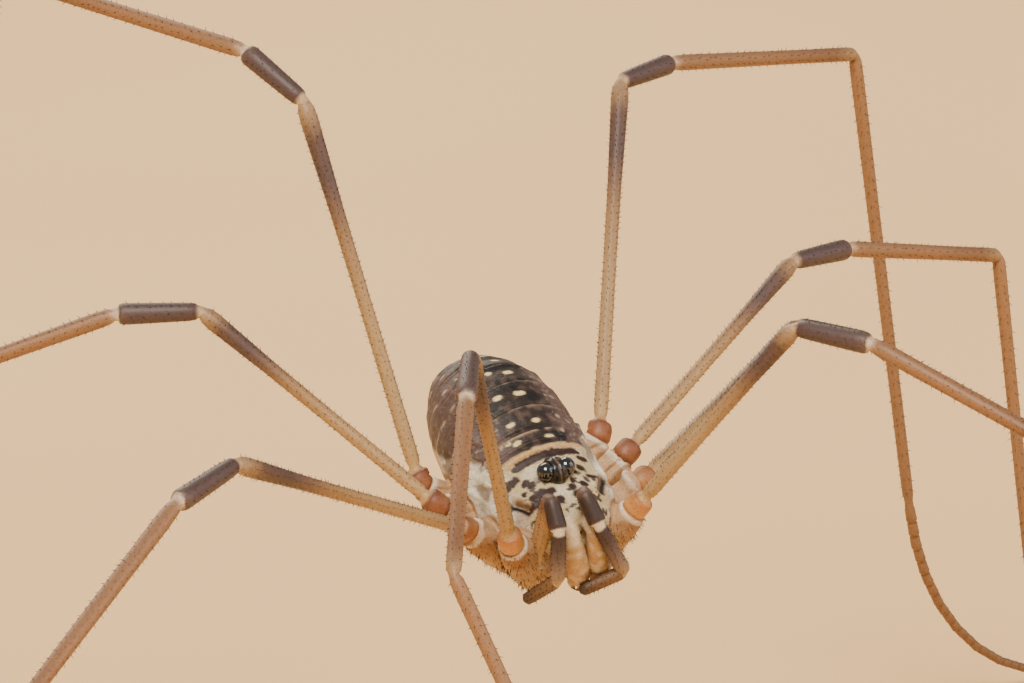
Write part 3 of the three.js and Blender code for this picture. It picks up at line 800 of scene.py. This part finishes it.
    # Fine dark peppering everywhere.
    return tints * (1 - 0.22 * soft(0.15, 0.6, fine + 0.4 * middle))[:, None]


def skin_material():
    # Leathery cuticle: waxy, faintly granular, a little light passes under it.
    material, tree = new_material("leathery cuticle")
    place = node(tree, "ShaderNodeTexCoord").outputs["Object"]
    tint = node(tree, "ShaderNodeAttribute", {"attribute_name": "tint"}).outputs["Color"]
    # Granules of about 0.05 mm break the light into the pricks seen on real cuticle.
    cells = node(tree, "ShaderNodeTexVoronoi", {"Scale": 19000.0}, {"Vector": place}).outputs["Distance"]
    noisy = node(tree, "ShaderNodeTexNoise", {"Scale": 30000.0, "Detail": 2.0}, {"Vector": place})
    grain = noisy.outputs["Fac"]
    low = node(tree, "ShaderNodeValToRGB", {"stops": [(0.3, GRANULE_GREY), (0.55, 0xFFFFFF)]}, {"Fac": grain})
    tone = node(tree, "ShaderNodeMix", {"data_type": "RGBA", "blend_type": "MULTIPLY", "Factor": 0.6},
                {6: tint, 7: low.outputs["Color"]}).outputs[2]
    height = node(tree, "ShaderNodeMath", {"operation": "ADD"}, {0: cells, 1: grain}).outputs[0]
    bump = node(tree, "ShaderNodeBump", {"Strength": 0.45, "Distance": 0.000012}, {"Height": height})
    finish_material(tree, {"Roughness": 0.52, "Specular IOR Level": 0.32, "Subsurface Weight": 0.05,
                           "Subsurface Scale": 0.0002, "Subsurface Radius": (1.0, 0.6, 0.35)},
                    {"Base Color": tone, "Normal": bump.outputs["Normal"]})
    return material


skin_cuticle = skin_material()


def dress(bm, relief, tinting):
    """Raises the skin by its relief and marks its colours."""
    places = np.array([tuple(vert.co) for vert in bm.verts])
    normals = np.array([tuple(vert.normal) for vert in bm.verts])
    raised = places + normals * relief(places, normals)[:, None]
    for vert, place in zip(bm.verts, raised):
        vert.co = place
    bm.normal_update()
    normals = np.array([tuple(vert.normal) for vert in bm.verts])
    layer = bm.verts.layers.float_color.new("tint")
    for vert, tint in zip(bm.verts, tinting(raised, normals)):
        vert[layer] = (*tint, 1.0)
    return raised, normals


def add_body():
    bm = fused(body_lumps(), BODY_VOXEL, BODY_EASING)
    places, normals = dress(bm, body_relief, body_tints)
    bmesh.ops.transform(bm, matrix=body, verts=bm.verts)
    bmesh.ops.recalc_face_normals(bm, faces=bm.faces)
    piece = new_piece("body_skin", bm, skin_cuticle)
    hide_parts("prosoma", "opisthosoma")
    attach(piece, "root")
    return places, normals


body_places, body_normals = add_body()


# Eyes and their turret
# Two black glossy lenses sit on either side of a dark polished turret,
# which has a fine tan line over its middle and a ring round each lens.
TURRET_CENTRE = Vector((0.62, 0.0, 0.86))
TURRET_HALVES = (0.38, 0.27, 0.35)
LENS_RADIUS = 0.222
LENS_INWARDS = 0.03
LENS_SIDES = 40
TURRET_BLACK = 0x0F0B0A
TURRET_LINE = 0x6E5233
TURRET_FOOT = 0x6A5138
TURRET_MOTTLE = 0x2E231C
LENS_BLACK = 0x050506


def turret_relief(p, n):
    out = np.zeros(len(p))
    for name in ("eye_right", "eye_left"):
        centre = np.array(body.inverted() @ cad_centre(name))
        away = np.linalg.norm(p - centre, axis=1)
        out += 0.02 * bump_at(away, LENS_RADIUS + 0.04, 0.03)
    out -= 0.02 * bump_at(p[:, 1], 0.0, 0.035)
    return out + 0.01 * noise_at(p, 9.0, 2.0)


def turret_tints(p, n):
    tints = all_over(p, TURRET_BLACK)
    fine = noise_at(p, 14.0, 1.0)
    tints = blend(tints, TURRET_LINE, bump_at(p[:, 1] + 0.02 * fine, 0.0, 0.018) * 0.8)
    tints = blend(tints, TURRET_FOOT, soft(0.72, 0.6, p[:, 2]) * 0.8)
    return blend(tints, TURRET_MOTTLE, soft(0.2, 0.6, fine) * 0.4)


def polished(name, colour, roughness):
    # Clear hard cuticle over black pigment: mirror highlights on near black.
    material, tree = new_material(name)
    finish_material(tree, {"Base Color": linear(colour), "Roughness": roughness, "Specular IOR Level": 0.7,
                           "Coat Weight": 1.0, "Coat Roughness": 0.04}, {})
    return material


def turret_material():
    # Polished cuticle of the turret, blackened by pigment.
    material, tree = new_material("polished cuticle")
    tint = node(tree, "ShaderNodeAttribute", {"attribute_name": "tint"}).outputs["Color"]
    finish_material(tree, {"Roughness": 0.3, "Specular IOR Level": 0.5, "Coat Weight": 0.3,
                           "Coat Roughness": 0.15}, {"Base Color": tint})
    return material


def add_eyes():
    bm = bmesh.new()
    bmesh.ops.create_icosphere(bm, subdivisions=5, radius=1.0)
    bmesh.ops.scale(bm, vec=TURRET_HALVES, verts=bm.verts)
    bmesh.ops.translate(bm, vec=TURRET_CENTRE, verts=bm.verts)
    bm.normal_update()
    dress(bm, turret_relief, turret_tints)
    bmesh.ops.transform(bm, matrix=body, verts=bm.verts)
    turret = new_piece("turret", bm, turret_material())
    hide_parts("ocularium")
    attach(turret, "root")
    lens_black = polished("clear lens over black", LENS_BLACK, 0.08)
    for name in ("eye_right", "eye_left"):
        bm = bmesh.new()
        bmesh.ops.create_uvsphere(bm, u_segments=LENS_SIDES, v_segments=LENS_SIDES // 2, radius=LENS_RADIUS)
        inward = (body @ TURRET_CENTRE - cad_centre(name)).normalized()
        bmesh.ops.translate(bm, vec=cad_centre(name) + inward * LENS_INWARDS, verts=bm.verts)
        lens = new_piece(f"lens_{name}", bm, lens_black)
        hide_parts(name)
        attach(lens, "root")


add_eyes()


# Jaws
# Each jaw bends down in front of the mouth and ends in a small dark pincer.
# Its cuticle is thin and straw coloured, wrinkled across, white at the bend.
JAW_PLACES = {
    "right": [(1.5, -0.34, -0.1, 0.2), (1.72, -0.36, 0.16, 0.25), (2.0, -0.36, 0.34, 0.24),
              (2.1, -0.34, 0.16, 0.2), (2.12, -0.26, -0.3, 0.25), (2.08, -0.16, -0.8, 0.3),
              (2.0, -0.06, -1.15, 0.27), (1.92, -0.06, -1.36, 0.15)],
    "left": [(1.5, 0.34, -0.2, 0.2), (1.72, 0.32, 0.06, 0.25), (2.0, 0.25, 0.22, 0.24),
             (2.1, 0.26, 0.04, 0.2), (2.12, 0.32, -0.4, 0.25), (2.06, 0.42, -0.9, 0.3),
             (1.98, 0.5, -1.24, 0.27), (1.9, 0.54, -1.46, 0.15)],
}
# The two fingers of a pincer, from the end of the jaw.
PINCER_PLACES = [
    [(0.06, 0.06, 0.14, 0.1), (0.1, 0.08, -0.06, 0.075), (0.05, 0.03, -0.2, 0.045),
     (0.0, 0.0, -0.27, 0.015)],
    [(-0.08, -0.06, 0.14, 0.11), (-0.1, -0.1, -0.06, 0.08), (-0.06, -0.04, -0.2, 0.045),
     (-0.02, 0.0, -0.26, 0.015)],
]
JAW_STRAW = 0xB48C58
JAW_PALE = 0xD8CAAE
JAW_AMBER = 0x9A7048
JAW_TIP = 0x3A2418
JAW_VOXEL = 0.024
JAW_EASING = 3


def jaw_relief(p, n):
    ripple = np.sin(p[:, 2] * 2 * math.pi / 0.075 + 2.5 * noise_at(p, 3.0, 4.0))
    return 0.006 * ripple * soft(-0.5, -0.9, p[:, 2]) + 0.008 * noise_at(p, 8.0, 3.0)


def jaw_tints(p, n):
    middle = noise_at(p, 5.0, 8.0)
    tints = all_over(p, JAW_STRAW)
    tints = blend(tints, JAW_PALE, soft(-0.3, 0.3, p[:, 2] + 0.3 * middle) * 0.55)
    tints = blend(tints, JAW_PALE, soft(-0.2, 0.4, middle) * 0.4)
    tints = blend(tints, JAW_AMBER, bump_at(p[:, 2], -1.1, 0.25) * soft(0.2, -0.3, middle) * 0.7)
    return blend(tints, JAW_TIP, soft(-1.42, -1.58, p[:, 2]))


def add_jaws():
    for side, places in JAW_PLACES.items():
        bm = bmesh.new()
        lump(bm, places)
        x0, y0, z0, _ = places[-1]
        for finger in PINCER_PLACES:
            lump(bm, [(x0 + x, y0 + y, z0 + z, radius) for x, y, z, radius in finger], sides=10)
        bmesh.ops.recalc_face_normals(bm, faces=bm.faces)
        bm = fused(bm, JAW_VOXEL, JAW_EASING)
        dress(bm, jaw_relief, jaw_tints)
        bmesh.ops.transform(bm, matrix=body, verts=bm.verts)
        bmesh.ops.recalc_face_normals(bm, faces=bm.faces)
        piece = new_piece(f"jaw_{side}", bm, skin_cuticle)
        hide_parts(f"chelicera_{side}")
        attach(piece, "root")


add_jaws()


# Feelers
# A pair of short leg-like feelers folded in front of the face: pale bristly
# thigh, purple brown knee and shank with white joints, brown foot with one claw.
PALP_JOINTS = {
    "right": [(1.42, -0.86, -0.85), (1.5, -0.87, -0.62), (1.88, -0.8, 1.18), (2.42, -0.84, 0.56),
              (2.5, -0.88, -0.71), (2.05, -1.47, -1.38)],
    "left": [(1.38, 0.78, -0.85), (1.46, 0.76, -0.62), (1.85, 0.06, 1.07), (2.4, 0.2, 0.42),
             (2.6, 0.79, -0.9), (2.32, -0.2, -1.34)],
}
PALP_PROFILES = [
    [(0.0, 0.2), (0.5, 0.24), (0.9, 0.2)],
    [(0.04, 0.16), (0.12, 0.19), (0.4, 0.21), (0.75, 0.2), (0.93, 0.19), (0.98, 0.15)],
    [(0.03, 0.12), (0.12, 0.17), (0.3, 0.195), (0.6, 0.205), (0.85, 0.215), (0.95, 0.19), (0.99, 0.13)],
    [(0.02, 0.13), (0.06, 0.165), (0.3, 0.18), (0.7, 0.178), (0.93, 0.185), (0.985, 0.15)],
    [(0.03, 0.14), (0.1, 0.165), (0.4, 0.16), (0.75, 0.155), (0.93, 0.14), (0.98, 0.1), (1.0, 0.05)],
]
PALP_STOPS = [
    (0.0, 0xBE9A68), (1.0, 0xBA9562), (1.7, 0xA47C50), (1.88, 0x6E4C35), (1.97, 0x6E5342),
    (2.05, 0x5A4238), (2.2, 0x37271F), (2.7, 0x33241F), (2.9, 0x3F2E27), (2.955, 0xE0D2BA),
    (3.02, 0xD8C6AA), (3.06, 0x3A2725), (3.3, 0x45322E), (3.62, 0x6A5449), (3.93, 0x907358),
    (4.02, 0xAE8F66), (4.1, 0x70502F), (4.6, 0x5F4126), (4.9, 0x46311F), (5.0, 0x1F150E),
]
PALP_STATIONS = 5.0
PALP_STEPS = 14


def palp_rings(joints):
    rings = []
    for number, profile in enumerate(PALP_PROFILES):
        start, end = (body @ Vector(joint) for joint in joints[number:number + 2])
        along = end - start
        steps = np.linspace(profile[0][0], profile[-1][0], PALP_STEPS)
        for share in steps:
            radius = float(np.interp(share, *zip(*profile)))
            bow = start.lerp(end, share)
            rings.append((ring_frame(bow, along, Vector((1, 0.1, 0)), radius), (number + share,)))
    return rings


palp_cuticle = banded_material("tanned feeler cuticle", PALP_STOPS, PALP_STATIONS)


def add_palps():
    for side, joints in PALP_JOINTS.items():
        bm = bmesh.new()
        station = bm.verts.layers.float.new("station")
        draw_out(bm, palp_rings(joints), LEG_SIDES, (station,))
        mark_upper(bm)
        piece = new_piece(f"feeler_{side}", bm, palp_cuticle)
        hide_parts(f"pedipalp_upper_{side}", f"pedipalp_lower_{side}")
        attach(piece, "root")


add_palps()


# Bristles
# Short stiff black bristles stand in rows on the legs and feelers and thickly
# on the coxae. Each is one solid thorn that leans towards the tip of its limb.
BRISTLE_BLACK = 0x1A120D
BAKE_PATCH = 0.003
# Spacing and length of the bristles on each length of a leg.
LEG_BRISTLES = {"femur": (0.17, 0.085), "patella": (0.2, 0.08), "tibia": (0.24, 0.09),
                "metatarsus": (0.3, 0.1)}
PALP_BRISTLES = (0.13, 0.085)
PALP_BRISTLE_ROWS = {1: 9, 3: 6, 4: 10}
LIMB_BRISTLE_THICKNESS = 0.0115
COXA_BRISTLE_THICKNESS = 0.0095
# The share of the skin's points under the coxae that carry a bristle.
COXA_BRISTLE_SHARE = 9 / 140
BRISTLE_ROWS = 7
BRISTLE_LEAN = 0.6


def bristle_material():
    # Solid blackened chitin, a dull shine.
    material, tree = new_material("bristle chitin")
    finish_material(tree, {"Base Color": linear(BRISTLE_BLACK), "Roughness": 0.5}, {})
    return material


def bristle(bm, uv_layer, root, direction, length, thickness, spot):
    """One three-sided thorn, whose bake patch lies at its root's place."""
    turn = direction.to_track_quat("Z", "Y").to_matrix().to_4x4()
    matrix = Matrix.Translation(root + direction * length * 0.45) @ turn
    made = bmesh.ops.create_cone(bm, cap_ends=True, segments=3, radius1=thickness, radius2=thickness * 0.12,
                                 depth=length, matrix=matrix)
    corners = ((0, 0), (BAKE_PATCH, 0), (BAKE_PATCH, BAKE_PATCH), (0, BAKE_PATCH))
    for face in {face for vert in made["verts"] for face in vert.link_faces}:
        for loop, (u, v) in zip(face.loops, corners):
            loop[uv_layer].uv = (spot[0] + u, spot[1] + v)


def add_bristles(name, thorns):
    bm = bmesh.new()
    uv_layer = bm.loops.layers.uv.new("OFBake")
    for thorn in thorns:
        bristle(bm, uv_layer, *thorn)
    piece = new_piece(name, bm, bristle_black)
    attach(piece, "root")


def limb_thorns(chance, start, end, side, profile, spacing, length, rows, station):
    """Thorns in rows along one straight length of a limb."""
    along = (end - start).normalized()
    side = (side - along * side.dot(along)).normalized()
    up = side.cross(along)
    whole = (end - start).length
    thorns = []
    for row in range(rows):
        reach = chance.uniform(0.1, 0.1 + spacing)
        while reach < whole - 0.12:
            share = reach / whole
            angle = (row + chance.uniform(-0.18, 0.18)) / rows * 2 * math.pi
            outward = side * math.cos(angle) + up * math.sin(angle)
            radius = float(np.interp(share, *zip(*profile)))
            direction = (outward + along * BRISTLE_LEAN * chance.uniform(0.6, 1.4)).normalized()
            spot = (0.02 + 0.95 * (station + share) / 6, 0.02 + 0.95 * (row / rows))
            thorns.append((start + along * reach + outward * radius * 0.97, direction,
                           length * chance.uniform(0.7, 1.25), LIMB_BRISTLE_THICKNESS, spot))
            reach += spacing * chance.uniform(0.6, 1.5)
    return thorns


bristle_black = bristle_material()
chance = random.Random(23)
for leg in legs.values():
    thorns = []
    profiles = {"femur": FEMUR_PROFILE, "patella": PATELLA_PROFILE, "tibia": TIBIA_PROFILE,
                "metatarsus": METATARSUS_PROFILE}
    for number, (part, (spacing, length)) in enumerate(LEG_BRISTLES.items()):
        start, end = leg.lengths[part]
        thorns += limb_thorns(chance, start, end, leg.side, profiles[part], spacing, length,
                              BRISTLE_ROWS, number)
    add_bristles(f"bristles_{leg.name}", thorns)


def coxa_thorns(chance):
    """Thorns on the lower faces of the coxae and mouth lobes."""
    thorns = []
    for place, normal in zip(body_places, body_normals):
        low = place[2] < -0.25 and place[0] > -1.2 and (normal[2] < 0.3 or place[0] > 0.8)
        if not low or chance.random() > COXA_BRISTLE_SHARE:
            continue
        root = body @ Vector(place)
        outward = body.to_3x3() @ Vector(normal)
        direction = (outward + Vector((0, 0, -0.55)) + body.to_3x3() @ Vector((0.35, 0, 0))).normalized()
        spot = (0.05 + 0.9 * (place[0] + 5) / 7, 0.05 + 0.9 * (place[1] + 3) / 6)
        thorns.append((root, direction, chance.uniform(0.07, 0.13), COXA_BRISTLE_THICKNESS, spot))
    return thorns


add_bristles("bristles_coxae", coxa_thorns(chance))
for side, joints in PALP_JOINTS.items():
    thorns = []
    for number, rows in PALP_BRISTLE_ROWS.items():
        start, end = (body @ Vector(joint) for joint in joints[number:number + 2])
        thorns += limb_thorns(chance, start, end, Vector((1, 0.1, 0)), PALP_PROFILES[number],
                              *PALP_BRISTLES, rows, number)
    add_bristles(f"bristles_feeler_{side}", thorns)
